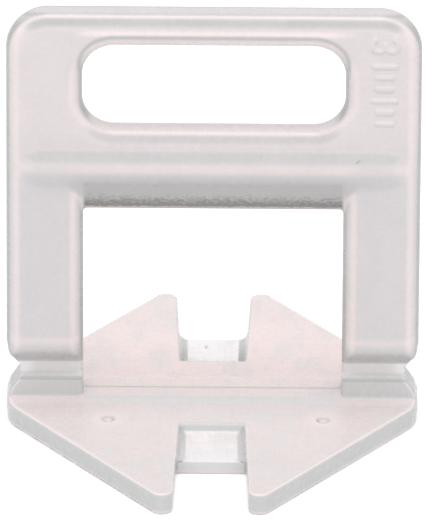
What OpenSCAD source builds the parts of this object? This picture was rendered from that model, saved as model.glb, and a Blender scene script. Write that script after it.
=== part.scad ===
// Tile levelling clip: one moulding with a base plate that goes under the tiles,
// two legs that stand in the joint, and a frame that the wedge pulls on.
// +Z is up, X runs along the joint, Y runs across it.
// The origin is at the middle of the base plate's underside. Sizes are in millimetres.

/* [Frame] */
// Joint width that the legs set, which is the thickness of the frame
joint_w = 3; // [2:0.1:4]
// Width of the frame over its legs
frame_w = 33; // [31:0.5:40]
// Height of the frame above the tile seat
frame_h = 33.6; // [33:0.1:40]
// Radius of the two outer top corners
corner_r = 3.4; // [2.6:0.1:5]
// Width of the wedge window between the legs
window_w = 20.7; // [16:0.1:22]

/* [Grip slot] */
// Width of the finger slot
slot_w = 20.9; // [14:0.1:22]
// Height of the finger slot
slot_h = 7; // [6:0.1:8]
// Radius of the slot's corners
slot_r = 2.6; // [1:0.1:2.9]
// Height of the bar above the slot
grip_bar_h = 3.1; // [3:0.1:5]

/* [Wedge bar] */
// Height of the wedge window, from the tile seat to the nose of the bar
window_h = 16.3; // [12:0.1:17]
// Thickness of the bar across its crest
rib_t = 4; // [3.6:0.1:5]
// Height of the nose, from its land up to the crest
nose_h = 4.2; // [3:0.1:5]
// Radius that rounds the crest down into the nose's slanted sides
crest_r = 3.4; // [2:0.1:3.6]
// Width of the flat land along the tip of the nose
nose_land = 0.9; // [0.5:0.1:1.5]
// Height over which the crest fades into the frame's faces
crest_fade_h = 1.1; // [0.8:0.1:2]
// Distance of the rib's round ends from the outer edges of the frame
rib_inset = 0.4; // [0.2:0.1:1]

/* [Break neck] */
// Height of the stub that stays on the plate below the neck
stub_h = 1.85; // [1:0.05:2.5]
// Thickness of the neck that breaks
neck_t = 1.5; // [0.8:0.1:1.9]
// Rise of the ledge from the stub's edge to the neck
ledge_rise = 0.3; // [0.1:0.05:0.6]
// Height of the neck's upright face
neck_face_h = 0.8; // [0.3:0.05:1.2]
// Height above the neck over which the leg's faces curve in
leg_end_h = 1.65; // [1.2:0.05:3]
// Depth of the notch in the outer side of each leg, at the neck
side_notch_d = 1.25; // [0.6:0.05:1.6]
// Height of the notch's upright bottom, from the neck's foot up
side_notch_h = 0.4; // [0.2:0.05:0.8]
// Height above the neck's foot at which the leg's slanted end meets its outer side
side_notch_up = 1.9; // [1.4:0.05:3]
// Height below the neck's foot at which the stub's slanted end meets its outer side
side_notch_down = 1.75; // [1.2:0.05:1.8]
// Radius of the shoulders above and below the notch
side_notch_r = 1.2; // [0.4:0.1:1.4]

/* [Base plate] */
// Thickness of the plate
plate_t = 1.8; // [1.5:0.1:3]
// Width of the plate across its ends
plate_w = 32.8; // [30:0.1:40]
// Distance from the middle to the point where each horn's two sides would meet
horn_reach = 20.6; // [17:0.1:26]
// Distance from the middle to where the slanted side leaves the plate's end
shoulder_y = 2.2; // [2:0.1:4]
// Radius of the shoulder corners
shoulder_r = 4; // [2:0.1:5]
// Radius of the horn tips
tip_r = 0.9; // [0.5:0.05:1.4]
// Height of the low rise that joins the feet of the legs
rise_h = 0.3; // [0.1:0.05:0.8]
// Run of the slope on each side of the low rise
rise_run = 0.7; // [0.3:0.1:1.5]

/* [Notches] */
// Distance from the middle to the inner end of each notch
notch_y = 5.95; // [4:0.05:8]
// Width of the notch at its inner end
notch_w = 5.3; // [4.5:0.1:8]
// Width of the notch where the horns' sides would meet
notch_mouth_w = 6.1; // [5.4:0.1:9]
// Thickness of the thin web in the notch
web_t = 1.1; // [0.6:0.05:1.2]
// Distance from the middle to the free edge of the web
web_y = 11.4; // [9:0.1:13]
// Radius of the fillets between the web and the notch walls
web_fillet_r = 0.5; // [0.2:0.05:0.6]

/* [Ejector marks] */
// Diameter of the round ejector marks on the front half of the plate
pin_mark_d = 1; // [0.6:0.1:2]
// Depth of the ejector marks
pin_mark_depth = 0.12; // [0.05:0.01:0.3]
// Distance of each mark from the middle, along the joint
pin_mark_x = 8.6; // [5:0.1:9]
// Shift of the pair of marks off the middle, along the joint
pin_mark_shift = 0.3; // [-1:0.1:1]
// Distance of the marks in front of the legs' middle
pin_mark_y = 5.1; // [3:0.1:6]

/* [Hidden] */
$fn = 64;

// Room by which a cutting shape runs past the surface it cuts
over = 1;
// Distance outside the leg at which the shoulders of its notches stand upright
notch_flare = 0.05;
half_t = joint_w / 2;
half_w = frame_w / 2;
seat_z = plate_t;
top_z = seat_z + frame_h;
slot_top_z = top_z - grip_bar_h;
slot_bottom_z = slot_top_z - slot_h;
nose_z = seat_z + window_h;
crest_z = nose_z + nose_h;
stub_z = seat_z + stub_h;
neck_z = stub_z + ledge_rise;
leg_end_z = neck_z + neck_face_h;
side_notch_z = neck_z;
// The legs end inside the foot of the grip, above the crest
leg_top_z = crest_z + crest_fade_h / 2;

// Radius of an arc that starts upright and moves sideways by run over its rise
function arc_r(rise, run) = (rise * rise + run * run) / (2 * run);
fade_r = arc_r(crest_fade_h, rib_t / 2 - half_t);
neck_d = half_t - neck_t / 2;
leg_end_r = arc_r(leg_end_h, neck_d + notch_flare);

// Slant of the nose's sides: a line from the land that touches the crest's arc
nose_run = (rib_t - nose_land) / 2;
nose_lean = crest_r - nose_run;
nose_angle = asin(crest_r / norm([nose_h, nose_lean])) - atan2(nose_lean, nose_h);
crest_y = rib_t / 2 - crest_r;
nose_touch = [crest_y + crest_r * cos(nose_angle), crest_z - crest_r * sin(nose_angle)];

// Slant of a notch wall away from the middle
notch_slant = (notch_mouth_w - notch_w) / 2 / (horn_reach - notch_y);
notch_angle = atan(notch_slant);

// Unit vector from a to b
function heading(a, b) = (b - a) / norm(b - a);

// Half the angle between the two sides that meet at b
function half_angle(a, b, c) = acos(heading(b, a) * heading(b, c)) / 2;

// Centre of a circle of radius r that touches both sides at b
function corner_centre(a, b, c, r) =
    let (middle = heading(b, a) + heading(b, c))
    b + middle / norm(middle) * r / sin(half_angle(a, b, c));

// The two points where that circle touches the sides
function corner_touches(a, b, c, r) =
    let (run = r / tan(half_angle(a, b, c)))
    [b + heading(b, a) * run, b + heading(b, c) * run];

// One side of the plate: shoulder, horn tip, notch end, and their mirror images
side_points = [
    [plate_w / 2, -shoulder_y],
    [notch_mouth_w / 2, -horn_reach],
    [notch_w / 2, -notch_y],
    [0, -notch_y],
    [0, notch_y],
    [notch_w / 2, notch_y],
    [notch_mouth_w / 2, horn_reach],
    [plate_w / 2, shoulder_y]
];
side_radii = [shoulder_r, tip_r, 0, 0, 0, 0, tip_r, shoulder_r];

// Outline with its corners rounded by the given radii, where 0 leaves a corner sharp
module rounded_outline(points, radii) {
    n = len(points);
    polygon([
        for (i = [0 : n - 1])
            each radii[i] > 0
                ? corner_touches(points[(i + n - 1) % n], points[i], points[(i + 1) % n], radii[i])
                : [points[i]]
    ]);
    for (i = [0 : n - 1])
        if (radii[i] > 0)
            translate(corner_centre(points[(i + n - 1) % n], points[i], points[(i + 1) % n], radii[i]))
                circle(r = radii[i]);
}

// The plate's outline seen from above, with its two notches open
module plate_outline() {
    rounded_outline(side_points, side_radii);
    mirror([1, 0, 0])
        rounded_outline(side_points, side_radii);
}

// Rectangle with round corners, centred on the origin
module rounded_slot(width, height, radius) {
    square([width, height - 2 * radius], center = true);
    square([width - 2 * radius, height], center = true);
    for (x = [-1, 1], y = [-1, 1])
        translate([x * (width / 2 - radius), y * (height / 2 - radius)])
            circle(r = radius);
}

// Stands a flat shape drawn in X and Z upright, with the given thickness across the joint
module upright(thickness) {
    rotate([90, 0, 0])
        linear_extrude(thickness, center = true)
            children();
}

// Runs a flat shape drawn in Y and Z along the joint, centred on the middle
module along(length) {
    rotate([90, 0, 90])
        linear_extrude(length, center = true)
            children();
}

// Quarter of a round edge that turns a corner, from +X towards +Z
module edge_turn(radius) {
    rotate([90, 0, 0])
        rotate_extrude(angle = 90)
            translate([radius, 0])
                circle(r = half_t);
}

// Thin web in a notch, with a fillet along each wall of the notch
module web(end) {
    web_len = web_y - notch_y;
    mouth_w = notch_w + 2 * notch_slant * web_len;
    // The roots of the web and of its fillets sit inside the plate
    root = 0.4;
    mirror([0, end > 0 ? 0 : 1, 0]) {
        linear_extrude(web_t)
            polygon([
                [-notch_w / 2 - root, notch_y - root],
                [notch_w / 2 + root, notch_y - root],
                [mouth_w / 2 + root, web_y],
                [-mouth_w / 2 - root, web_y]
            ]);
        intersection() {
            translate([-mouth_w, notch_y - root, 0])
                cube([2 * mouth_w, web_len + root, plate_t]);
            for (side = [0, 1])
                mirror([side, 0, 0])
                    translate([notch_w / 2, notch_y, web_t])
                        rotate([90, 0, 180 - notch_angle])
                            linear_extrude(2 * web_len, center = true)
                                fillet_section(root);
        }
        translate([0, notch_y, web_t])
            along(notch_w)
                fillet_section(root);
    }
}

// Section of a fillet whose wall stands on the left and whose floor lies below
module fillet_section(root) {
    difference() {
        translate([-root, -root])
            square(root + web_fillet_r);
        translate([web_fillet_r, web_fillet_r])
            circle(r = web_fillet_r);
    }
}

// Plate with its horns, its two notch webs and the low rise between the legs
module base_plate() {
    linear_extrude(plate_t)
        plate_outline();
    web(1);
    web(-1);
    intersection() {
        linear_extrude(seat_z + rise_h)
            plate_outline();
        along(frame_w)
            polygon([
                [-half_t - rise_run, 0],
                [half_t + rise_run, 0],
                [half_t + rise_run, seat_z],
                [half_t, seat_z + rise_h],
                [-half_t, seat_z + rise_h],
                [-half_t - rise_run, seat_z]
            ]);
    }
}

// Round shallow marks that the ejector pins leave
module ejector_marks() {
    for (x = [-1, 1])
        translate([x * pin_mark_x + pin_mark_shift, -pin_mark_y, seat_z - pin_mark_depth])
            cylinder(d = pin_mark_d, h = pin_mark_depth + over);
}

// Section of a leg: flat faces with fully rounded sides
module leg_section() {
    inner = window_w / 2 + half_t;
    outer = half_w - half_t;
    translate([inner, -half_t])
        square([outer - inner, joint_w]);
    for (x = [inner, outer])
        translate([x, 0])
            circle(r = half_t);
}

// Groove that leaves the neck, drawn for the front face in Y and Z
module neck_groove() {
    arc_z = leg_end_z + leg_end_h;
    difference() {
        polygon([
            [-half_t - over, stub_z - ledge_rise * over / neck_d],
            [-neck_t / 2, neck_z],
            [-neck_t / 2, arc_z],
            [-half_t - over, arc_z]
        ]);
        translate([leg_end_r - half_t - notch_flare, arc_z])
            circle(r = leg_end_r);
    }
}

// End of a leg or a stub beside the notch: a slant with a round shoulder, drawn in X and Z
module notch_shoulder(root, shoulder, end_z) {
    rounded_outline([
        root,
        shoulder,
        [shoulder.x, end_z],
        [root.x - over, end_z],
        [root.x - over, root.y]
    ], [0, side_notch_r, 0, 0, 0]);
}

// Notch between the leg and the stub at the outer side, drawn in X and Z
module side_notch() {
    bottom_x = half_w - side_notch_d;
    leg_z = side_notch_z + side_notch_up;
    stub_end_z = side_notch_z - side_notch_down;
    difference() {
        translate([bottom_x, stub_end_z - over])
            square([side_notch_d + over, leg_z - stub_end_z + 2 * over]);
        notch_shoulder(
            [bottom_x, side_notch_z + side_notch_h],
            [half_w + notch_flare, leg_z],
            leg_z + 2 * over
        );
        notch_shoulder(
            [bottom_x, side_notch_z],
            [plate_w / 2 + notch_flare, stub_end_z],
            stub_end_z - 2 * over
        );
    }
}

// Leg on the +X side, with the stub below its neck
module leg() {
    difference() {
        union() {
            translate([0, 0, stub_z])
                linear_extrude(leg_top_z - stub_z)
                    leg_section();
            linear_extrude(stub_z + ledge_rise / 2)
                intersection() {
                    plate_outline();
                    translate([window_w / 2, -half_t])
                        square([plate_w / 2, joint_w]);
                }
        }
        for (face = [0, 1])
            mirror([0, face, 0])
                along(frame_w + 2 * over)
                    neck_groove();
        upright(joint_w + 2 * over)
            side_notch();
    }
}

// Half of the wedge bar's section, from its middle plane outwards
module rib_half_section() {
    polygon([
        [0, nose_z],
        [nose_land / 2, nose_z],
        nose_touch,
        [nose_touch.x, crest_z],
        [0, crest_z]
    ]);
    intersection() {
        translate([crest_y, crest_z])
            circle(r = crest_r);
        translate([0, nose_touch.y])
            square([rib_t, crest_z - nose_touch.y]);
    }
    intersection() {
        translate([rib_t / 2 - fade_r, crest_z])
            circle(r = fade_r);
        translate([0, crest_z - crest_fade_h / 2])
            square([rib_t, crest_fade_h * 3 / 2]);
    }
}

// Bar that the wedge bears on: a nosed rib with round ends
module wedge_bar() {
    end_x = half_w - rib_inset - rib_t / 2;
    along(2 * end_x) {
        rib_half_section();
        mirror([1, 0])
            rib_half_section();
    }
    for (x = [-1, 1])
        translate([x * end_x, 0, 0])
            rotate_extrude()
                rib_half_section();
}

// Frame above the wedge bar, with the finger slot and rounded edges
module grip() {
    edge_x = half_w - half_t;
    edge_z = top_z - half_t;
    turn_r = corner_r - half_t;
    slot_z = (slot_top_z + slot_bottom_z) / 2;
    slot_turn_r = slot_r + half_t;
    slot_run_x = slot_w / 2 - slot_r;
    slot_run_z = slot_h / 2 - slot_r;

    upright(joint_w)
        difference() {
            union() {
                translate([-edge_x, crest_z])
                    square([2 * edge_x, edge_z - turn_r - crest_z]);
                translate([turn_r - edge_x, crest_z])
                    square([2 * (edge_x - turn_r), edge_z - crest_z]);
                for (x = [-1, 1])
                    translate([x * (edge_x - turn_r), edge_z - turn_r])
                        circle(r = turn_r);
            }
            translate([0, slot_z])
                rounded_slot(slot_w + joint_w, slot_h + joint_w, slot_turn_r);
        }

    // Outer edge: up both sides, round the corners and along the top
    for (side = [0, 1])
        mirror([side, 0, 0]) {
            translate([edge_x, 0, crest_z])
                cylinder(r = half_t, h = edge_z - turn_r - crest_z);
            translate([edge_x - turn_r, 0, edge_z - turn_r])
                edge_turn(turn_r);
        }
    translate([0, 0, edge_z])
        rotate([0, 90, 0])
            cylinder(r = half_t, h = 2 * (edge_x - turn_r), center = true);

    // Edge of the slot: both ends, all four corners, above and below
    translate([0, 0, slot_z])
        for (side = [0, 1], half = [0, 1])
            mirror([side, 0, 0])
                mirror([0, 0, half]) {
                    translate([slot_w / 2 + half_t, 0, 0])
                        cylinder(r = half_t, h = slot_run_z);
                    translate([slot_run_x, 0, slot_run_z])
                        edge_turn(slot_turn_r);
                    translate([0, 0, slot_h / 2 + half_t])
                        rotate([0, 90, 0])
                            cylinder(r = half_t, h = slot_run_x);
                }
}

// The whole clip, moulded in one piece
module clip() {
    color([0.89, 0.86, 0.86])
        difference() {
            union() {
                base_plate();
                leg();
                mirror([1, 0, 0])
                    leg();
                wedge_bar();
                grip();
            }
            ejector_marks();
        }
}

clip();
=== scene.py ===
"""Looks of the tile levelling clip, a single moulding in frosted natural plastic.

The clip is one piece that branches and blends at every joint, so no one grid of two
parameters covers it. Its skin is therefore the zero level of a signed distance field in
millimetres, worked out with numpy as whole arrays, and then put into a mesh in metres.
Each sub-assembly is a class that holds its sizes and gives its own part of the field.
"""

import logging
import math
from dataclasses import dataclass, field
from enum import Enum

import bpy
import numpy as np
from mathutils import Matrix, Vector


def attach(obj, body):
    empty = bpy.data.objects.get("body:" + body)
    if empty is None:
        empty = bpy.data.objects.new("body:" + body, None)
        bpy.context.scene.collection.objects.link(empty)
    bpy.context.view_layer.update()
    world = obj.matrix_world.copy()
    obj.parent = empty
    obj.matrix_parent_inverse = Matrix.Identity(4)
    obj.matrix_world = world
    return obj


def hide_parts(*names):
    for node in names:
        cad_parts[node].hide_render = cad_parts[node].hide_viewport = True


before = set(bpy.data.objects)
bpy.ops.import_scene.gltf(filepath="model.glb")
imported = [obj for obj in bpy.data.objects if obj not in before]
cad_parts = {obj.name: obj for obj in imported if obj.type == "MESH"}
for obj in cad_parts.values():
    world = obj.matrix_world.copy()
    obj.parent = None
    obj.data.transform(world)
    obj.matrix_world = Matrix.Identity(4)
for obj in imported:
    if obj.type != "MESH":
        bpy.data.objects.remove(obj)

Array = np.ndarray
Socket = bpy.types.NodeSocket
LOG = logging.getLogger("tile_levelling_clip")
MM = 0.001
LEG_HALF = 1.5  # millimetres, half of the legs' thickness, which sets the joint
WINDOW_HALF = 10.35  # millimetres, half of the window's width
PLATE_END = 16.4  # millimetres, end of plate and stubs along the joint
FAR = 9.0  # millimetres, well past any corner or stroke


def soft_min(a: Array, b: Array, width: float | Array) -> Array:
    """Join two distances with a fillet: the smaller one, less a parabola where they are close.

    Args:
        a: First distance in millimetres.
        b: Second distance in millimetres.
        width: Difference below which the two blend; a fillet's radius is about 0.85 of it.

    Returns:
        The blended distance.
    """
    near = np.maximum(width - np.abs(a - b), 0.0) / width
    return np.minimum(a, b) - near * near * width / 4


def soft_max(a: Array, b: Array, width: float) -> Array:
    """Cut one distance by another with a rounded edge, as soft_min with its signs turned.

    Args:
        a: First distance in millimetres.
        b: Second distance in millimetres.
        width: Difference below which the two blend.

    Returns:
        The blended distance.
    """
    return -soft_min(-a, -b, width)


def round_edge(side: Array, top: Array, radius: float) -> Array:
    """Meet two faces in a quarter circle: both are moved in by the radius, then grown by it.

    Args:
        side: Distance to the first face, negative inside.
        top: Distance to the second face, negative inside.
        radius: Radius of the edge.

    Returns:
        The distance to the rounded body.
    """
    u = side + radius
    v = top + radius
    outside = np.hypot(np.maximum(u, 0.0), np.maximum(v, 0.0))
    return outside + np.minimum(np.maximum(u, v), 0.0) - radius


def round_box(u: Array, v: Array, half_u: float, half_v: float, radius: float) -> Array:
    """Distance to a centred rectangle with round corners.

    Args:
        u: First coordinate from the middle.
        v: Second coordinate from the middle.
        half_u: Half of the first side.
        half_v: Half of the second side.
        radius: Radius of the corners.

    Returns:
        The signed distance in the plane.
    """
    return round_edge(np.abs(u) - half_u, np.abs(v) - half_v, radius)


def smooth_step(value: Array, low: float, high: float | Array) -> Array:
    """Ramp from 0 at low to 1 at high, along 3t^2 - 2t^3."""
    t = np.clip((value - low) / (high - low), 0.0, 1.0)
    return t * t * (3 - 2 * t)


def beside(a: tuple, b: tuple, x: Array, y: Array) -> Array:
    """Distance from the line through a and b, positive to the right of the way from a to b."""
    run, climb = b[0] - a[0], b[1] - a[1]
    return ((x - a[0]) * climb - (y - a[1]) * run) / math.hypot(run, climb)


class Corner:
    """Round corner between two straight sides of a flat outline."""

    def __init__(self, before: tuple, point: tuple, after: tuple, radius: float) -> None:
        """Find the circle that touches both sides.

        Args:
            before: A point on the first side.
            point: Where the two sides would meet.
            after: A point on the second side.
            radius: Radius of the corner.
        """
        a, b, c = (np.array(p, float) for p in (before, point, after))
        self.along_a = (b - a) / np.linalg.norm(b - a)
        self.along_b = (b - c) / np.linalg.norm(b - c)
        middle = -(self.along_a + self.along_b)
        half = math.acos(float(self.along_a @ self.along_b)) / 2
        self.centre = b + middle / np.linalg.norm(middle) * radius / math.sin(half)
        self.radius = radius

    def cut(self, x: Array, y: Array, flat: Array) -> Array:
        """Round a distance to the sharp outline.

        Args:
            x: First coordinate.
            y: Second coordinate.
            flat: Distance to the sharp outline.

        Returns:
            In the sector past both points of touch, the distance to the circle, else flat.
        """
        dx = x - self.centre[0]
        dy = y - self.centre[1]
        past_a = dx * self.along_a[0] + dy * self.along_a[1] > 0
        past_b = dx * self.along_b[0] + dy * self.along_b[1] > 0
        return np.where(past_a & past_b, np.hypot(dx, dy) - self.radius, flat)


class Face(Enum):
    """Face of the clip, by the sign of Y that it looks to."""

    FRONT = -1
    BACK = 1


@dataclass(frozen=True)
class BasePlate:
    """Plate under the tiles: four horns, two notches with thin webs, and a low rise."""

    thickness: float = 1.8
    end_x: float = PLATE_END
    shoulder_y: float = 2.2
    shoulder_r: float = 4.0
    horn_point: tuple = (3.05, 20.596)
    tip_r: float = 0.9
    notch_root: tuple = (2.65, 5.95)
    root_blend: float = 0.3
    edge_r: float = 0.28
    foot_width: float = 0.09
    rise_top: float = 2.1
    rise_half: float = LEG_HALF
    rise_run: float = 0.7
    rise_ease: float = 0.25
    front_run_out: float = 0.35
    back_run_out: float = 1.2
    web_t: float = 1.1
    web_y: float = 11.4
    web_root_y: float = 5.0
    web_lap: float = 0.5
    web_edge_r: float = 0.14
    web_seam: float = 0.1
    web_fillet: float = 0.9
    web_fillet_z: tuple = (-0.15, 0.05)
    pin_marks: tuple = ((-8.3, -5.1), (8.9, -5.1))
    pin_r: float = 0.5
    pin_depth: float = 0.12
    pin_edge: float = 0.12

    def wall(self, ax: Array, ay: Array) -> Array:
        """Distance past a notch's slanted wall, which is one straight line.

        Args:
            ax: Distance from the middle along the joint.
            ay: Distance from the middle across the joint.

        Returns:
            The distance, positive in the notch.
        """
        run = np.array(self.horn_point) - np.array(self.notch_root)
        run = run / np.linalg.norm(run)
        return -(ax - self.notch_root[0]) * run[1] + (ay - self.notch_root[1]) * run[0]

    def outline(self, ax: Array, ay: Array) -> Array:
        """Distance to the plate seen from above: straight sides whose corners are circles.

        Args:
            ax: Distance from the middle along the joint.
            ay: Distance from the middle across the joint.

        Returns:
            The signed distance in the plane.
        """
        shoulder = (self.end_x, self.shoulder_y)
        run = np.array(self.horn_point) - np.array(shoulder)
        run = run / np.linalg.norm(run)
        side = (ax - shoulder[0]) * run[1] - (ay - shoulder[1]) * run[0]
        outer = np.maximum(ax - self.end_x, side)
        round_end = Corner((self.end_x, -FAR), shoulder, self.horn_point, self.shoulder_r)
        outer = round_end.cut(ax, ay, outer)
        inner = soft_min(self.wall(ax, ay), ay - self.notch_root[1], self.root_blend)
        tip = Corner(shoulder, self.horn_point, self.notch_root, self.tip_r)
        return tip.cut(ax, ay, np.maximum(outer, inner))

    def distance(self, x: Array, y: Array, z: Array) -> Array:
        """Field of the plate: outline raised to its thickness, webs, rise and round marks.

        Args:
            x: Coordinate along the joint.
            y: Coordinate across the joint.
            z: Height above the underside.

        Returns:
            The signed distance.
        """
        ax, ay = np.abs(x), np.abs(y)
        flat = self.outline(ax, ay)
        run_out = np.where(y > 0.0, self.back_run_out, self.front_run_out)
        foot = self.rise_half + self.rise_run + run_out
        fall = smooth_step(ay, self.rise_half - self.rise_ease, foot)
        top = self.rise_top - (self.rise_top - self.thickness) * fall
        body = round_edge(flat, z - top, self.edge_r)
        length = np.maximum(ay - self.web_y, self.web_root_y - ay)
        span = np.maximum(length, -self.wall(ax, ay) - self.web_lap)
        grown = smooth_step(z, self.web_t + self.web_fillet_z[0], self.web_t + self.web_fillet_z[1])
        fillet = self.web_seam + (self.web_fillet - self.web_seam) * grown
        body = soft_min(body, round_edge(span, z - self.web_t, self.web_edge_r), fillet)
        for mark_x, mark_y in self.pin_marks:
            disc = np.hypot(x - mark_x, y - mark_y) - self.pin_r
            dip = soft_max(disc, self.thickness - self.pin_depth - z, self.pin_edge)
            body = soft_max(body, -dip, self.pin_edge)
        return soft_max(body, -z, self.foot_width)


@dataclass(frozen=True)
class BreakNeck:
    """Stubs on the plate and the thin necks above them, where the frame breaks off.

    leg_round is the circle of a leg's end as y, z and radius. side_bottom is the bottom of the
    notch in the outer side as x, lower z and upper z.
    """

    half_t: float = LEG_HALF
    inner_x: float = WINDOW_HALF
    outer_x: float = PLATE_END
    root_z: float = 0.8
    edge_r: float = 0.4
    ledge_z: float = 3.65
    ledge_rise: float = 0.3
    neck_half: float = 0.75
    groove_blend: float = 0.2
    leg_round: tuple = (-0.55, 6.7, 2.1)
    side_bottom: tuple = (15.25, 3.95, 4.2)
    side_blend: float = 0.2
    bottom_blend: float = 0.3
    side_mid: float = 4.1
    side_reach: tuple = (2.0, 3.2)
    side_clear: float = 2.0
    leg_shoulder: tuple = (16.52, 5.65)
    stub_shoulder: tuple = (16.42, 2.2)
    shoulder_r: float = 1.2

    def stub(self, ax: Array, ay: Array, z: Array) -> Array:
        """Distance to the upright block that a neck stands on, with round upright edges.

        Args:
            ax: Distance from the middle along the joint.
            ay: Distance from the middle plane.
            z: Height above the underside.

        Returns:
            The signed distance.
        """
        middle = (self.inner_x + self.outer_x) / 2
        plan = round_box(ax - middle, ay, self.outer_x - middle, self.half_t, self.edge_r)
        return np.maximum(plan, np.maximum(z - self.ledge_z - self.ledge_rise, self.root_z - z))

    def groove(self, ay: Array, z: Array) -> Array:
        """Section across the joint: a sloped ledge, the neck's slab, and the leg's round end.

        Args:
            ay: Distance from the middle plane.
            z: Height above the underside.

        Returns:
            The distance to the union of a half plane, a slab and a circle that goes on upwards.
        """
        fall = self.half_t - self.neck_half
        length = math.hypot(self.ledge_rise, fall)
        ledge = ((ay - self.half_t) * self.ledge_rise + (z - self.ledge_z) * fall) / length
        y0, z0, r = self.leg_round
        leg = np.hypot(ay - y0, np.minimum(z - z0, 0.0)) - r
        upper = soft_min(leg, ay - self.neck_half, self.groove_blend)
        return soft_min(upper, ledge, self.groove_blend)

    def side(self, ax: Array, z: Array) -> Array:
        """Notch in the outer side: an upright bottom between two slants with round shoulders.

        Args:
            ax: Distance from the middle along the joint.
            z: Height above the underside.

        Returns:
            The distance to the leg's end, the stub's end and all that lies inside the bottom.
        """
        x0, low, high = self.side_bottom
        leg_x, leg_z = self.leg_shoulder
        stub_x, stub_z = self.stub_shoulder
        above = np.maximum(ax - leg_x, beside((x0, high), self.leg_shoulder, ax, z))
        leg_end = Corner((x0, high), self.leg_shoulder, (leg_x, leg_z + FAR), self.shoulder_r)
        above = leg_end.cut(ax, z, above)
        below = np.maximum(ax - stub_x, beside(self.stub_shoulder, (x0, low), ax, z))
        stub_end = Corner((x0, low), self.stub_shoulder, (stub_x, stub_z - FAR), self.shoulder_r)
        below = stub_end.cut(ax, z, below)
        open_side = soft_min(soft_min(above, below, self.side_blend), ax - x0, self.bottom_blend)
        away = smooth_step(np.abs(z - self.side_mid), *self.side_reach)
        return open_side - self.side_clear * away


@dataclass(frozen=True)
class WedgeBar:
    """Bar that the wedge bears on: a nose with slanted sides under a rounded crest.

    touch is where the slant meets the crest, as y and z. crest and fade are the circles below
    and above the widest place, as y, z and radius.
    """

    nose_z: float = 18.1
    land_half: float = 0.45
    touch: tuple = (1.705, 20.915)
    crest: tuple = (-1.4, 22.3, 3.4)
    fade: tuple = (0.54, 22.3, 1.46)
    end_x: float = 13.4
    end_taper: float = 0.74
    hollow: float = 1.3
    past_touch: float = 1.2
    touch_ease: float = 0.4
    nose_blend: float = 0.25

    def distance(self, x: Array, y: Array, z: Array) -> Array:
        """Field of the bar: one section carried along the joint, with ends that are half ellipses.

        Args:
            x: Coordinate along the joint.
            y: Coordinate across the joint.
            z: Height above the underside.

        Returns:
            The distance to a land, a hollow slant whose half width goes with a power of the
            height and runs into a large circle below the crest, and a small circle above it.
        """
        out = np.hypot(np.maximum(np.abs(x) - self.end_x, 0.0) * self.end_taper, y)
        deep = self.touch[1] - self.nose_z
        wide = self.touch[0] - self.land_half
        t = np.clip((z - self.nose_z) / deep, 0.0, self.past_touch)
        lean = self.hollow * wide / deep * t ** (self.hollow - 1)
        slant = (out - self.land_half - wide * t ** self.hollow) / np.sqrt(1 + lean * lean)
        low = np.hypot(out - self.crest[0], z - self.crest[1]) - self.crest[2]
        high = np.hypot(out - self.fade[0], z - self.fade[1]) - self.fade[2]
        share = smooth_step(z, self.touch[1] - self.touch_ease, self.touch[1] + self.touch_ease)
        skin = np.where(z < self.crest[1], slant + (low - slant) * share, high)
        return soft_max(self.nose_z - z, skin, self.nose_blend)


@dataclass(frozen=True)
class SlottedFrame:
    """Legs and grip: a flat frame with fully rounded edges, a window and a finger slot."""

    half_t: float = LEG_HALF
    half_w: float = 16.496
    top: float = 35.394
    corner_r: float = 3.4
    slot_mid: float = 28.8
    slot_half: tuple = (10.45, 3.5)
    slot_r: float = 2.6
    window_half: float = WINDOW_HALF
    window_top: float = 21.0
    window_r: float = 0.5
    foot: float = 3.6
    below: float = 20.0

    def distance(self, x: Array, y: Array, z: Array) -> Array:
        """Field of the frame: a circle of half the thickness runs round its flat outline.

        Args:
            x: Coordinate along the joint.
            y: Coordinate across the joint.
            z: Height above the underside.

        Returns:
            The distance to all points within half the thickness of the outline moved in by it.
        """
        middle = (self.top - self.below) / 2
        flat = round_box(x, z - middle, self.half_w, self.top - middle, self.corner_r)
        slot = round_box(x, z - self.slot_mid, *self.slot_half, self.slot_r)
        low = (self.window_top - self.below) / 2
        window = round_box(x, z - low, self.window_half, self.window_top - low, self.window_r)
        flat = np.maximum(flat, np.maximum(-slot, -window))
        return np.hypot(np.maximum(flat + self.half_t, 0.0), y) - self.half_t


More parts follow.
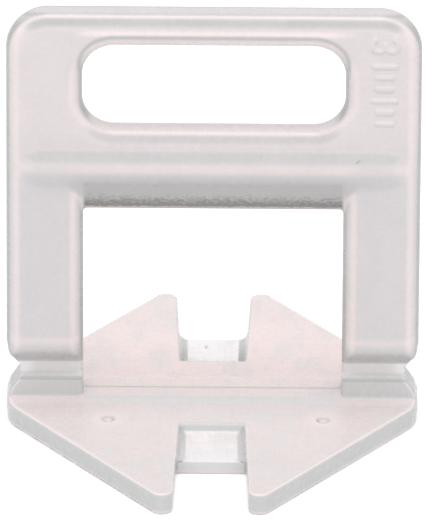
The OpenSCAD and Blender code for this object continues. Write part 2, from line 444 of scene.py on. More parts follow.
@dataclass(frozen=True)
class GaugeMark:
    """Faint raised gauge mark on the grip: a plain numeral and a row of ticks below it."""

    face: Face = Face.FRONT
    middle_x: float = 13.55
    numeral_z: float = 32.9
    bowl_r: float = 0.52
    bowl_turn: tuple = (150.0, -90.0)
    bowl_points: int = 13
    tick_z: tuple = (31.1, 30.1, 29.1, 28.1, 27.1, 26.1)
    tick_half: tuple = (0.85, 0.55, 0.55, 0.85, 0.55, 0.55)
    stroke: float = 0.2
    soft_share: tuple = (0.4, 1.7)
    height: float = 0.06
    face_y: float = 0.8

    def strokes(self) -> Array:
        """Straight strokes in X and Z as rows of two points: two bowls in chords, and ticks.

        Returns:
            An array of start x, start z, end x and end z.
        """
        turn = np.radians(np.linspace(*self.bowl_turn, self.bowl_points))
        upper = np.stack([np.cos(turn), np.sin(turn) + 1.0], -1)
        lower = np.stack([np.cos(turn), -np.sin(turn) - 1.0], -1)
        rows = []
        for bowl in (upper, lower):
            x = self.middle_x + bowl[:, 1] * self.bowl_r
            z = self.numeral_z - bowl[:, 0] * self.bowl_r
            rows.append(np.stack([x[:-1], z[:-1], x[1:], z[1:]], -1))
        ticks = np.array([(self.middle_x - h, z, self.middle_x + h, z)
                          for z, h in zip(self.tick_z, self.tick_half)])
        return np.concatenate([*rows, ticks])

    def relief(self, x: Array, y: Array, z: Array) -> Array:
        """Height of the mark: a soft hump of the distance to the nearest stroke.

        Args:
            x: Coordinate along the joint.
            y: Coordinate across the joint.
            z: Height above the underside.

        Returns:
            The height to add to the face, zero away from the mark.
        """
        near = np.full(np.broadcast_shapes(x.shape, z.shape), FAR)
        for x0, z0, x1, z1 in self.strokes():
            long = (x1 - x0) ** 2 + (z1 - z0) ** 2
            t = np.clip(((x - x0) * (x1 - x0) + (z - z0) * (z1 - z0)) / long, 0.0, 1.0)
            near = np.minimum(near, np.hypot(x - x0 - t * (x1 - x0), z - z0 - t * (z1 - z0)))
        flat, foot = (self.stroke * share for share in self.soft_share)
        hump = 1.0 - smooth_step(near, flat, foot)
        return self.height * hump * (y * self.face.value > self.face_y)


@dataclass
class Moulding:
    """The whole clip: its sub-assemblies, their union and the mesh of its skin.

    The stops are pairs of a place and the spacing of the grid lines there.
    """

    plate: BasePlate = field(default_factory=BasePlate)
    neck: BreakNeck = field(default_factory=BreakNeck)
    bar: WedgeBar = field(default_factory=WedgeBar)
    upright: SlottedFrame = field(default_factory=SlottedFrame)
    mark: GaugeMark = field(default_factory=GaugeMark)
    groove_edge: float = 0.12
    notch_edge: float = 0.3
    bar_fillet: float = 0.35
    foot_fillet: float = 0.2
    x_stops: tuple = ((0.0, 0.2), (3.4, 0.2), (4.4, 0.32), (9.6, 0.3), (10.2, 0.16), (16.8, 0.16))
    y_stops: tuple = ((0.0, 0.16), (2.3, 0.16), (3.0, 0.24), (10.6, 0.26), (11.2, 0.2), (19.2, 0.2))
    z_stops: tuple = ((-0.4, 0.13), (2.3, 0.13), (6.6, 0.17), (7.6, 0.5), (17.0, 0.5), (17.9, 0.15),
                      (23.6, 0.17), (35.8, 0.2))
    passes: int = 4
    step_limit: float = 0.12
    least_slope: float = 0.1
    reach: float = 0.02

    def distance(self, x: Array, y: Array, z: Array) -> Array:
        """Field of the clip: frame and stubs, cut at the necks, joined to bar and plate.

        Args:
            x: Coordinate along the joint.
            y: Coordinate across the joint.
            z: Height above the underside.

        Returns:
            The signed distance in millimetres.
        """
        ax, ay = np.abs(x), np.abs(y)
        body = np.maximum(self.upright.distance(x, y, z), self.upright.foot - z)
        body = np.minimum(body, self.neck.stub(ax, ay, z))
        body = soft_max(body, self.neck.groove(ay, z), self.groove_edge)
        body = soft_max(body, self.neck.side(ax, z), self.notch_edge)
        body = soft_min(body, self.bar.distance(x, y, z), self.bar_fillet)
        body = soft_min(body, self.plate.distance(x, y, z), self.foot_fillet)
        return body - self.mark.relief(x, y, z)

    def lines(self) -> tuple:
        """Grid lines along X, Y and Z, close where the clip bends and wide apart on its flats."""
        return mirrored(spaced(self.x_stops)), mirrored(spaced(self.y_stops)), spaced(self.z_stops)

    def skin(self) -> tuple:
        """Mesh the zero level of the field and move each vertex onto it.

        Returns:
            Vertices in millimetres, quads, and one normal per vertex.
        """
        x, y, z = self.lines()
        values = self.distance(x[:, None, None], y[None, :, None], z[None, None, :])
        points, quads = surface_net(values, x, y, z)
        for _ in range(self.passes):
            level, slope = self.gradient(points)
            steep = np.maximum((slope * slope).sum(1), self.least_slope)
            step = np.clip(level / steep, -self.step_limit, self.step_limit)
            points = points - step[:, None] * slope
        _, slope = self.gradient(points)
        return points, quads, slope / np.linalg.norm(slope, axis=1, keepdims=True)

    def gradient(self, points: Array) -> tuple:
        """Value and slope of the field by central differences over a short reach.

        Args:
            points: Points in millimetres, one row each.

        Returns:
            The values, and the slopes one row each.
        """
        slope = np.empty_like(points)
        for axis in range(3):
            shift = np.zeros(3)
            shift[axis] = self.reach
            ahead = self.distance(*(points + shift).T)
            slope[:, axis] = (ahead - self.distance(*(points - shift).T)) / (2 * self.reach)
        return self.distance(*points.T), slope

    def build(self, name: str) -> bpy.types.Object:
        """Make the clip's object from its skin.

        Args:
            name: Name of the piece.

        Returns:
            The object, at the origin, with its place in its mesh.
        """
        points, quads, normals = self.skin()
        mesh = bpy.data.meshes.new(name)
        mesh.vertices.add(len(points))
        mesh.vertices.foreach_set("co", (points * MM).astype(np.float32).ravel())
        mesh.loops.add(quads.size)
        mesh.loops.foreach_set("vertex_index", quads.astype(np.int32).ravel())
        mesh.polygons.add(len(quads))
        mesh.polygons.foreach_set("loop_start", np.arange(0, quads.size, 4, dtype=np.int32))
        mesh.update(calc_edges=True)
        mesh.validate()
        mesh.polygons.foreach_set("use_smooth", np.ones(len(mesh.polygons), dtype=bool))
        mesh.normals_split_custom_set_from_vertices(normals.tolist())
        obj = bpy.data.objects.new(name, mesh)
        bpy.context.scene.collection.objects.link(obj)
        LOG.info("%s: %d vertices, %d triangles", name, len(points), 2 * len(quads))
        return obj


def spaced(stops: tuple) -> Array:
    """Grid lines whose spacing runs evenly from each stop's to the next one's.

    Args:
        stops: Pairs of a place and the spacing wanted there, in rising order.

    Returns:
        The places of the lines, which meet every stop.
    """
    parts = [np.array([stops[0][0]])]
    for (a, gap_a), (b, gap_b) in zip(stops, stops[1:]):
        count = max(1, round(2 * (b - a) / (gap_a + gap_b)))
        t = np.linspace(0.0, 1.0, count + 1)[1:]
        bend = (gap_b - gap_a) / (gap_a + gap_b)
        parts.append(a + (b - a) * (t + bend * t * (t - 1)))
    return np.concatenate(parts)


def mirrored(lines: Array) -> Array:
    """Lines on both sides of zero, without a line at zero itself."""
    half = (lines[1:] + lines[:-1]) / 2
    return np.concatenate([-half[::-1], half])


def surface_net(values: Array, x: Array, y: Array, z: Array) -> tuple:
    """Mesh the zero level of a field on a grid, with one vertex in each cell that it crosses.

    A vertex is the mean of the points where the field is zero on its cell's edges. Each grid
    edge whose ends differ in sign gives one quad through the four cells round it.

    Args:
        values: Field at the grid's points, negative inside.
        x: Grid lines along the first axis.
        y: Grid lines along the second axis.
        z: Grid lines along the third axis.

    Returns:
        Vertices, and quads whose faces point outwards.
    """
    inside = values < 0
    shape = tuple(n - 1 for n in values.shape)
    total = np.zeros(shape + (3,))
    count = np.zeros(shape)
    axes = (x, y, z)
    crossings = []
    for axis in range(3):
        lo = [slice(None)] * 3
        hi = [slice(None)] * 3
        lo[axis], hi[axis] = slice(None, -1), slice(1, None)
        cross = inside[tuple(lo)] != inside[tuple(hi)]
        at = np.argwhere(cross)
        a = values[tuple(lo)][cross]
        b = values[tuple(hi)][cross]
        place = np.stack([axes[k][at[:, k]] for k in range(3)], -1)
        line = axes[axis]
        place[:, axis] += (line[at[:, axis] + 1] - line[at[:, axis]]) * a / (a - b)
        crossings.append((axis, at, a < 0))
        others = [k for k in range(3) if k != axis]
        for da in (0, 1):
            for db in (0, 1):
                cell = at.copy()
                cell[:, others[0]] -= da
                cell[:, others[1]] -= db
                keep = ((cell >= 0) & (cell < np.array(shape))).all(1)
                index = tuple(cell[keep].T)
                np.add.at(total, index, place[keep])
                np.add.at(count, index, 1.0)
    used = count > 0
    number = np.full(shape, -1)
    number[used] = np.arange(int(used.sum()))
    points = total[used] / count[used][:, None]
    quads = []
    for axis, at, leaves in crossings:
        u, v = (axis + 1) % 3, (axis + 2) % 3
        ring = []
        for du, dv in ((0, 0), (-1, 0), (-1, -1), (0, -1)):
            cell = at.copy()
            cell[:, u] += du
            cell[:, v] += dv
            ring.append(number[tuple(cell.T)])
        ring = np.stack(ring, -1)
        quads.append(np.where(leaves[:, None], ring, ring[:, ::-1]))
    return points, np.concatenate(quads)


class Detail(float, Enum):
    """How many finer layers a noise has."""

    COARSE = 2.0
    MIDDLE = 3.0
    FINE = 4.0


class NodeBoard:
    """Node tree of one material, with short calls to add and join nodes."""

    def __init__(self, tree: bpy.types.NodeTree) -> None:
        """Start from an empty tree."""
        self.tree = tree
        tree.nodes.clear()

    def node(self, kind: str, **settings: object) -> bpy.types.Node:
        """Add a node.

        Args:
            kind: Blender's name of the node.
            **settings: Properties of the node.

        Returns:
            The new node.
        """
        made = self.tree.nodes.new(kind)
        for key, value in settings.items():
            setattr(made, key, value)
        return made

    def put(self, socket: Socket, value: object) -> None:
        """Link an output to a socket, or set the socket's own value.

        Args:
            socket: Input of a node.
            value: An output, or a plain value.
        """
        if isinstance(value, Socket):
            self.tree.links.new(value, socket)
        else:
            socket.default_value = value

    def math(self, operation: str, *values: object) -> Socket:
        """Add a Math node.

        Args:
            operation: Name of the operation.
            *values: Numbers or outputs for its inputs.

        Returns:
            The node's output.
        """
        made = self.node("ShaderNodeMath", operation=operation)
        for socket, value in zip(made.inputs, values):
            self.put(socket, value)
        return made.outputs[0]

    def split(self, vector: Socket) -> tuple:
        """Parts of a vector along X, Y and Z.

        Args:
            vector: Output to take apart.

        Returns:
            The three outputs.
        """
        made = self.node("ShaderNodeSeparateXYZ")
        self.put(made.inputs[0], vector)
        return tuple(made.outputs)

    def seen(self) -> Socket:
        """Share of light paths that show a thing itself, from the camera or a glossy bounce."""
        path = self.node("ShaderNodeLightPath")
        return self.math("MAXIMUM", path.outputs["Is Camera Ray"], path.outputs["Is Glossy Ray"])

    def close(self, kind: str, shader: bpy.types.Node) -> None:
        """Join a shader to a new output node of the kind given."""
        self.put(self.node(kind).inputs["Surface"], shader.outputs[0])

    def ramp(self, value: object, low: float, high: float,
             start: float = 0.0, end: float = 1.0) -> Socket:
        """Add a smooth ramp.

        Args:
            value: Output to read.
            low: Value where the ramp begins.
            high: Value where it ends.
            start: Result up to low.
            end: Result from high on.

        Returns:
            The ramp's output.
        """
        made = self.node("ShaderNodeMapRange", interpolation_type="SMOOTHSTEP")
        for name, entry in (("Value", value), ("From Min", low), ("From Max", high),
                            ("To Min", start), ("To Max", end)):
            self.put(made.inputs[name], entry)
        return made.outputs["Result"]

    def noise(self, place: Socket, detail: Detail, scale: float = 1.0) -> Socket:
        """Add a Noise texture.

        Args:
            place: Place to read it at.
            detail: How fine it is.
            scale: Its blots per unit of the place.

        Returns:
            Its value.
        """
        made = self.node("ShaderNodeTexNoise")
        self.put(made.inputs["Vector"], place)
        self.put(made.inputs["Scale"], scale)
        self.put(made.inputs["Detail"], detail.value)
        return made.outputs["Fac"]

    def mapped(self, place: Socket, scale: tuple, turn: float = 0.0) -> Socket:
        """Scale a place along the axes, and turn it about Z.

        Args:
            place: Place to change.
            scale: Factors along X, Y and Z.
            turn: Angle in degrees.

        Returns:
            The changed place.
        """
        made = self.node("ShaderNodeMapping")
        self.put(made.inputs["Vector"], place)
        self.put(made.inputs["Rotation"], (0.0, 0.0, math.radians(turn)))
        self.put(made.inputs["Scale"], scale)
        return made.outputs["Vector"]

    def hump(self, value: object, middle: float, half: float, height: float = 1.0) -> Socket:
        """Smooth hump of a value: its height at the middle, and 0 from half away on."""
        away = self.math("ABSOLUTE", self.math("SUBTRACT", value, middle))
        return self.ramp(away, 0.0, half, height, 0.0)

    def between(self, value: object, low: float, high: float, soft: float) -> Socket:
        """Share of a stretch, with soft ends.

        Args:
            value: Output to read.
            low: Start of the stretch.
            high: End of the stretch.
            soft: Width over which the share falls to 0 outside it.

        Returns:
            The share, 1 from low to high.
        """
        middle, half = (low + high) / 2, (high - low) / 2
        away = self.math("ABSOLUTE", self.math("SUBTRACT", value, middle))
        return self.ramp(away, half, half + soft, 1.0, 0.0)

    def times(self, *values: object) -> object:
        """Product of several shares.

        Args:
            *values: Numbers or outputs.

        Returns:
            The product's output.
        """
        total = values[0]
        for value in values[1:]:
            total = self.math("MULTIPLY", total, value)
        return total

    def scaled(self, colour: object, factor: object) -> Socket:
        """Multiply a colour by a number.

        Args:
            colour: Output of the colour.
            factor: Number or output.

        Returns:
            The changed colour.
        """
        made = self.node("ShaderNodeVectorMath", operation="SCALE")
        self.put(made.inputs[0], colour)
        self.put(made.inputs["Scale"], factor)
        return made.outputs[0]

    def mix_value(self, share: object, a: object, b: object) -> Socket:
        """Mix two numbers by a share."""
        return self.math("MULTIPLY_ADD", share, self.math("SUBTRACT", b, a), a)

    def mix(self, share: object, a: object, b: object) -> Socket:
        """Mix two colours by a share; a colour is an output or a tuple of red, green and blue.

        Args:
            share: Share of the second colour.
            a: First colour.
            b: Second colour.

        Returns:
            The mixed colour.
        """
        made = self.node("ShaderNodeMix", data_type="RGBA")
        self.put(made.inputs[0], share)
        for socket, colour in zip((s for s in made.inputs if s.type == "RGBA"), (a, b)):
            self.put(socket, (*colour, 1.0) if isinstance(colour, tuple) else colour)
        return next(s for s in made.outputs if s.type == "RGBA")


@dataclass(frozen=True)
class SkinPlace:
    """Where a point of the skin is, in millimetres, and how it is turned, as node outputs.

    ax and ay are the distances from the middle planes. side, face and rise are the normal's
    parts along X, Y and Z, the first two without their signs. tilt is the sine of the turn away
    from front or back, and lean is the upward share of that turn.
    """

    point: Socket
    x: Socket
    y: Socket
    z: Socket
    ax: Socket
    ay: Socket
    side: Socket
    face: Socket
    rise: Socket
    tilt: Socket
    lean: Socket

    @classmethod
    def on(cls, board: NodeBoard) -> "SkinPlace":
        """Read the place and the turn from Object coordinates.

        Args:
            board: The material's nodes.

        Returns:
            The place on the skin.
        """
        least_tilt = 0.05
        coords = board.node("ShaderNodeTexCoord")
        point = board.mapped(coords.outputs["Object"], (1 / MM, 1 / MM, 1 / MM))
        x, y, z = board.split(point)
        side, face, rise = board.split(coords.outputs["Normal"])
        ax, ay, side, face = (board.math("ABSOLUTE", value) for value in (x, y, side, face))
        tilt = board.math("SQRT", board.math("SUBTRACT", 1.0, board.times(face, face)))
        lean = board.math("DIVIDE", rise, board.math("MAXIMUM", tilt, least_tilt))
        return cls(point, x, y, z, ax, ay, side, face, rise, tilt, lean)


@dataclass(frozen=True)
class Tints:
    """Linear colours of the milky plastic, most of them painted light and shade, from its lit edges
    to its shaded grooves.
    """

    leg: tuple = (0.70, 0.673, 0.682)
    grip: tuple = (0.775, 0.718, 0.723)
    # painted highlight: pale pink on turning edges, the legs' ends, the rise, the plate's front
    # edge and foot, under the slot's roof and round pin dips
    glow: tuple = (0.895, 0.80, 0.793)
    lit: tuple = (0.96, 0.86, 0.85)
    # painted shade: grey where the skin turns away, on the stubs' outer ends, round the pin dips
    # and over the top's highlight
    rim_shade: tuple = (0.475, 0.475, 0.475)
    # painted shade: grey on upward-turning edges, the slot's edge, below the crest, beside the
    # gauge strokes and in the notches' front corners
    painted_shade: tuple = (0.54, 0.537, 0.537)
    # painted light: the plate's back half lighter than its front; the back's colour is also the
    # crest's painted highlight
    plate_front_shaded: tuple = (0.77, 0.69, 0.685)
    plate_back_lit: tuple = (0.885, 0.757, 0.745)
    # painted shade on walls that look sideways, the notches' inner walls and the back upper edge;
    # also the colour of the plate's streaks and flow lines
    wall: tuple = (0.625, 0.627, 0.627)
    ledge: tuple = (0.705, 0.70, 0.695)
    neck: tuple = (0.735, 0.708, 0.702)
    # painted light: thin webs paler as if lit through, the back one more so; also highlights on the
    # stubs, the necks' ends and the pin dips' middles
    web: tuple = (0.865, 0.83, 0.84)
    web_back: tuple = (0.925, 0.885, 0.895)
    # painted shade on the notches' upright faces
    notch: tuple = (0.745, 0.745, 0.745)
    # painted shade on the rise's front slope; also the colour of the plate's smears
    slope: tuple = (0.70, 0.70, 0.70)
    # painted shade under the legs' ends and in the notches' deep corners; also the parting line,
    # the back web's speck and the ledges' dark line
    groove: tuple = (0.34, 0.34, 0.34)
    # painted shade on the down-facing nose and the legs' round ends
    nose: tuple = (0.52, 0.52, 0.52)
    # darkest painted shade towards the nose's lower edge; also the colour of the scratch
    darkest: tuple = (0.20, 0.195, 0.19)
    lip: tuple = (0.62, 0.57, 0.555)


TINT = Tints()


@dataclass(frozen=True)
class Tones:
    """One layer of the colour, painted on a material's nodes at a place on the skin; most layers
    paint light and shade into it.

    The layers' spans are named for what they limit. A ramp's span is its start and end, at times
    with the shares there. A hump's is its middle, half width and share, and a stretch's is its
    start, end and soft width. Places are in millimetres, turns as in SkinPlace.
    """

    board: NodeBoard
    at: SkinPlace


@dataclass(frozen=True)
class FrameTones(Tones):
    """Legs and grip: a painted highlight where an edge begins to turn, and painted grey shade at
    the rims.
    """

    grip_z: tuple = (21.0, 26.5)
    below_slot: tuple = (28.0, 26.0)
    over_leg: tuple = (10.0, 12.5, 1.0, 0.45)
    # painted highlight on the crest
    crest_glow: tuple = (22.2, 0.75, 0.55)
    crest_shade: tuple = (-0.06, -0.34, 0.0, 0.65)
    crest_low: tuple = (19.0, 20.0)
    crest_high: tuple = (24.0, 23.0)
    # painted highlights along the top and at the legs' ends
    top_highlight: tuple = (33.78, 0.46)
    top_highlight_end: tuple = (9.0, 12.0, 1.0, 0.0)
    leg_end: tuple = (6.9, 0.55, 0.45)
    # painted highlight where an edge begins to turn
    highlight_band: tuple = (0.0, 0.34, 0.75)
    highlight_tilt: tuple = (0.0, 1.0, 0.47, 0.81)
    highlight_lean: tuple = (-0.7, -0.2)
    highlight_fade: tuple = (0.6, 1.0, 1.0, 0.35)
    # painted shade on upward-turning edges, varied by a noise
    shade_start: tuple = (0.12, 0.5)
    shade_stop: tuple = (0.77, 0.6)
    shade_lean: tuple = (0.65, 0.97)
    shade_z: tuple = (27.0, 30.0, 0.6, 1.0)
    shade_noise: tuple = (0.4, 0.6, 0.85, 1.0)
    shade_noise_scale: tuple = (0.14, 0.1, 0.2)
    # painted shade on the slot's edge
    slot: tuple = (0.0, 0.24, 0.9)
    slot_tilt: tuple = (-1.0, 0.0, 0.24, 0.9)
    slot_lean: tuple = (0.0, -0.3)
    slot_end: tuple = (12.0, 12.3, 1.0, 0.0)
    slot_low: tuple = (24.0, 26.0)
    # painted highlight under the slot's roof
    roof_tilt: tuple = (0.56, 0.2, 0.7)
    roof_lean: tuple = (-0.5, -0.9)
    roof_low: tuple = (30.0, 31.0)
    mark_x: tuple = (12.5, 14.7, 0.1)
    mark_z: tuple = (25.6, 33.9, 0.1)
    # painted shade and highlight on the gauge strokes' flanks
    mark_under: tuple = (-0.03, -0.2, 0.0, 0.32)
    mark_over: tuple = (0.03, 0.2, 0.0, 0.4)
    mark_side: tuple = (0.06, 0.25, 0.0, 0.22)
    # painted shade at the rims
    rim_face: tuple = (0.7, 0.42)
    rim_top: tuple = (0.5, 0.95, 1.0, 0.4)
    rim_back: tuple = (0.0, 0.2, 0.0, 0.95)
    rim_roof: tuple = (-0.9, -0.5, 0.45, 1.0)
    rim_low: tuple = (0.4, 0.8, 1.0, 0.1)
    # grey cut that dims the top's highlight
    glare: tuple = (0.85, 0.085, 0.75)
    glare_low: tuple = (33.0, 34.0)

    def paint(self) -> Socket:
        """Colour of legs and grip, from the broad tones to the narrow ones."""
        return self.rims(self.gauge(self.openings(self.edges(self.flats()))))

    def lower(self) -> Socket:
        """Share that is full below the slot."""
        return self.board.ramp(self.at.z, *self.below_slot)

    def bar(self) -> Socket:
        """Share of the bar's tones, which fade over the legs."""
        return self.board.ramp(self.at.ax, *self.over_leg)

    def flats(self) -> Socket:
        """Faces: a grip paler than the legs, and painted highlights as pale lines on crest, top and
        leg ends.

        Returns:
            The colour of the faces.
        """
        board, at = self.board, self.at
        tone = board.mix(board.ramp(at.z, *self.grip_z), TINT.leg, TINT.grip)
        crest = board.times(board.hump(at.z, *self.crest_glow), self.bar())
        tone = board.mix(crest, tone, TINT.plate_back_lit)
        line = board.times(board.hump(at.z, *self.top_highlight), board.ramp(at.ax, *self.top_highlight_end))
        tone = board.mix(line, tone, TINT.lit)
        return board.mix(board.hump(at.z, *self.leg_end), tone, TINT.glow)

    def edges(self, tone: Socket) -> Socket:
        """Edges: a painted highlight where the skin begins to turn, and painted shade on the
        upward-turning ones, varied by noise.

        Args:
            tone: Colour so far.

        Returns:
            The colour with the edges on it.
        """
        board, at = self.board, self.at
        off = board.math("SUBTRACT", at.tilt, board.ramp(at.lean, *self.highlight_tilt))
        upper = board.math("MAXIMUM", board.ramp(at.lean, *self.highlight_fade), self.lower())
        highlight_band = board.times(board.hump(off, *self.highlight_band), board.ramp(at.lean, *self.highlight_lean), upper)
        tone = board.mix(highlight_band, tone, TINT.glow)
        shade_noise = board.noise(board.mapped(at.point, self.shade_noise_scale), Detail.COARSE)
        painted_shade = board.times(board.ramp(at.tilt, *self.shade_start),
                           board.ramp(at.tilt, *self.shade_stop),
                           board.ramp(at.lean, *self.shade_lean), board.ramp(at.z, *self.shade_z),
                           board.ramp(shade_noise, *self.shade_noise))
        return board.mix(painted_shade, tone, TINT.painted_shade)

    def openings(self, tone: Socket) -> Socket:
        """Painted shade on the slot's edge and below the bar's crest, and a painted highlight under
        the slot's roof.

        Args:
            tone: Colour so far.

        Returns:
            The colour with the openings' edges on it.
        """
        board, at = self.board, self.at
        off = board.math("SUBTRACT", at.tilt, board.ramp(at.lean, *self.slot_tilt))
        slot = board.times(board.hump(off, *self.slot), board.ramp(at.lean, *self.slot_lean),
                           board.ramp(at.ax, *self.slot_end), board.ramp(at.z, *self.slot_low))
        tone = board.mix(slot, tone, TINT.painted_shade)
        roof = board.times(board.hump(at.tilt, *self.roof_tilt),
                           board.ramp(at.lean, *self.roof_lean), board.ramp(at.z, *self.roof_low))
        tone = board.mix(roof, tone, TINT.glow)
        crest = board.times(board.ramp(at.rise, *self.crest_shade),
                            board.ramp(at.z, *self.crest_low),
                            board.ramp(at.z, *self.crest_high), self.bar())
        return board.mix(crest, tone, TINT.painted_shade)

    def gauge(self, tone: Socket) -> Socket:
        """Strokes of the gauge mark: painted shade below and beside them, a painted highlight
        above.

        Args:
            tone: Colour so far.

        Returns:
            The colour with the mark on it.
        """
        board, at = self.board, self.at
        mark = board.times(board.between(at.x, *self.mark_x), board.between(at.z, *self.mark_z))
        flanks = ((at.rise, self.mark_under, TINT.painted_shade), (at.rise, self.mark_over, TINT.lit),
                  (at.side, self.mark_side, TINT.painted_shade))
        for turn, span, tint in flanks:
            tone = board.mix(board.times(mark, board.ramp(turn, *span)), tone, tint)
        return tone

    def rims(self, tone: Socket) -> Socket:
        """Painted grey shade where the skin has turned away, less of it on top, and a grey cut that
        dims the top's highlight.

        Args:
            tone: Colour so far.

        Returns:
            The colour with the rims on it.
        """
        board, at = self.board, self.at
        back = board.ramp(at.y, *self.rim_back)
        top = board.math("MAXIMUM", board.ramp(at.rise, *self.rim_top), back)
        top = board.times(top, board.ramp(at.rise, *self.rim_roof))
        share = board.mix_value(self.lower(), top, board.ramp(at.rise, *self.rim_low))
        tone = board.mix(board.times(board.ramp(at.face, *self.rim_face), share), tone, TINT.rim_shade)
        glare = board.times(board.hump(at.rise, *self.glare), board.ramp(at.z, *self.glare_low))
        return board.mix(glare, tone, TINT.rim_shade)


@dataclass(frozen=True)
class FootTones(Tones):
    """Plate, webs, stubs and necks, and painted shade on the legs' ends above them."""

    top: tuple = (0.6, 0.93)
    behind: tuple = (-2.5, 3.0)
    rise_top: tuple = (1.5, 1.2, 0.0, 0.35)
    rise_slope: tuple = (1.55, 2.15, 0.3)
    rise_end: tuple = (9.6, 10.5, 1.0, 0.0)
    rise_front: tuple = (-1.0, 1.0, 0.9, 0.0)
    ledge_z: tuple = (2.6, 3.2)
    horn_y: tuple = (7.0, 15.0, 0.0, 0.2)
    edge_turn: tuple = (0.68, 0.34, 0.9)
    edge_z: tuple = (1.5, 1.9, 0.15)
    edge_back: tuple = (2.0, 5.0, 0.0, 0.8)
    bottom_z: tuple = (0.4, 0.1, 0.0, 0.8)
    notch_y: tuple = (5.6, 11.4, 0.2)
    notch_x: tuple = (3.0, 3.4, 1.0, 0.0)
    notch_z: tuple = (1.6, 1.75, 1.0, 0.0)
    pane_x: tuple = (1.9, 2.3, 1.0, 0.0)
    pane_y: tuple = (6.2, 6.45)
    pane_lit: tuple = (6.3, 10.0, 0.75, 0.0)
    pane_back: tuple = (-1.0, 1.0)
    inner_x: tuple = (2.75, 2.6)
    inner_start: tuple = (5.64, 5.74)
    inner_stop: tuple = (6.3, 6.15)
    corner_turn: tuple = (0.06, 0.3)
    corner_end: tuple = (11.6, 11.4)
    corner_front: tuple = (0.0, -1.0, 0.0, 0.8)
    corner_back: tuple = (0.0, 1.0)
    deep_turn: tuple = (0.95, 0.6, 0.4, 1.0)
    deep_fade: tuple = (6.5, 11.0, 0.95, 0.4)
    stub_z: tuple = (2.3, 4.2, 0.3)
    stub_x: tuple = (14.5, 15.2)
    stub_turn: tuple = (0.5, 0.8)
    stub_rise: tuple = (0.25, 0.5, 0.0, 0.6)
    stub_glow: tuple = (0.5, 0.32, 0.6)
    neck_y: tuple = (0.8, 1.05, 1.0, 0.0)
    neck_z: tuple = (3.6, 4.0)
    neck_end: tuple = (14.0, 15.0, 0.0, 0.8)
    lip_z: tuple = (3.56, 3.7, 0.16)
    lip_y: tuple = (1.2, 1.4)
    lip_x: tuple = (10.3, 10.6, 0.0, 0.5)
    leg_side: tuple = (0.7, 0.95, 1.0, 0.2)
    leg_fade: tuple = (6.6, 5.6, 0.0, 0.5)
    leg_under: tuple = (-0.2, -0.6)
    leg_low: tuple = (5.9, 5.3)
    leg_end: tuple = (7.4, 6.8, 0.0, 0.3)
    joint_z: tuple = (4.88, 4.68)

    def paint(self, tone: Socket) -> Socket:
        """Put the foot under the legs."""
        foot = self.necks(self.notches(self.plate()))
        return self.board.mix(self.board.ramp(self.at.z, *self.joint_z), self.leg_ends(tone), foot)

    def upward(self) -> Socket:
        """Share of what looks up."""
        return self.board.ramp(self.at.rise, *self.top)

    def plate(self) -> Socket:
        """Plate, rise and ledges: pinkish flats, the back painted lighter, painted highlights on
        the rise and front upper edge, painted grey shade on walls, back edge and front slope.

        Returns:
            The colour of the plate.
        """
        board, at = self.board, self.at
        flat = board.mix(board.ramp(at.y, *self.behind), TINT.plate_front_shaded, TINT.plate_back_lit)
        flat = board.mix(board.ramp(at.ay, *self.rise_top), flat, TINT.glow)
        slope = board.times(board.between(at.ay, *self.rise_slope),
                            board.ramp(at.ax, *self.rise_end), board.ramp(at.y, *self.rise_front))
        flat = board.mix(slope, flat, TINT.slope)
        flat = board.mix(board.ramp(at.z, *self.ledge_z), flat, TINT.ledge)
        flat = board.mix(board.ramp(at.ay, *self.horn_y), flat, TINT.wall)
        foot = board.mix(self.upward(), TINT.wall, flat)
        edge = board.times(board.hump(at.rise, *self.edge_turn), board.between(at.z, *self.edge_z))
        bright = board.mix(board.ramp(at.y, *self.edge_back), TINT.glow, TINT.wall)
        return board.mix(edge, foot, bright)

    def notches(self, foot: Socket) -> Socket:
        """Notches: thin webs painted pale as if lit through, painted shade on upright faces and in
        the corners, and a painted highlight along the plate's foot.

        Args:
            foot: Colour of the plate.

        Returns:
            The colour with the notches in it.
        """
        board, at = self.board, self.at
        notch = board.times(board.between(at.ay, *self.notch_y), board.ramp(at.ax, *self.notch_x),
                            board.ramp(at.z, *self.notch_z))
        pane = board.times(self.upward(), board.ramp(at.ax, *self.pane_x),
                           board.ramp(at.ay, *self.pane_y))
        web = board.mix(board.ramp(at.ay, *self.pane_lit), TINT.web, TINT.lit)
        web = board.mix(board.ramp(at.y, *self.pane_back), web, TINT.web_back)
        foot = board.mix(notch, foot, board.mix(pane, TINT.notch, web))
        inner = board.times(board.ramp(at.ax, *self.inner_x), board.ramp(at.ay, *self.inner_start),
                            board.ramp(at.ay, *self.inner_stop))
        foot = board.mix(inner, foot, TINT.wall)
        corner = board.times(notch, board.ramp(at.side, *self.corner_turn),
                             board.ramp(at.ay, *self.corner_end))
        foot = board.mix(board.times(corner, board.ramp(at.y, *self.corner_front)), foot, TINT.painted_shade)
        deep = board.times(corner, board.ramp(at.side, *self.deep_turn),
                           board.ramp(at.y, *self.deep_fade))
        foot = board.mix(board.times(deep, board.ramp(at.y, *self.corner_back)), foot, TINT.groove)
        return board.mix(board.ramp(at.z, *self.bottom_z), foot, TINT.glow)

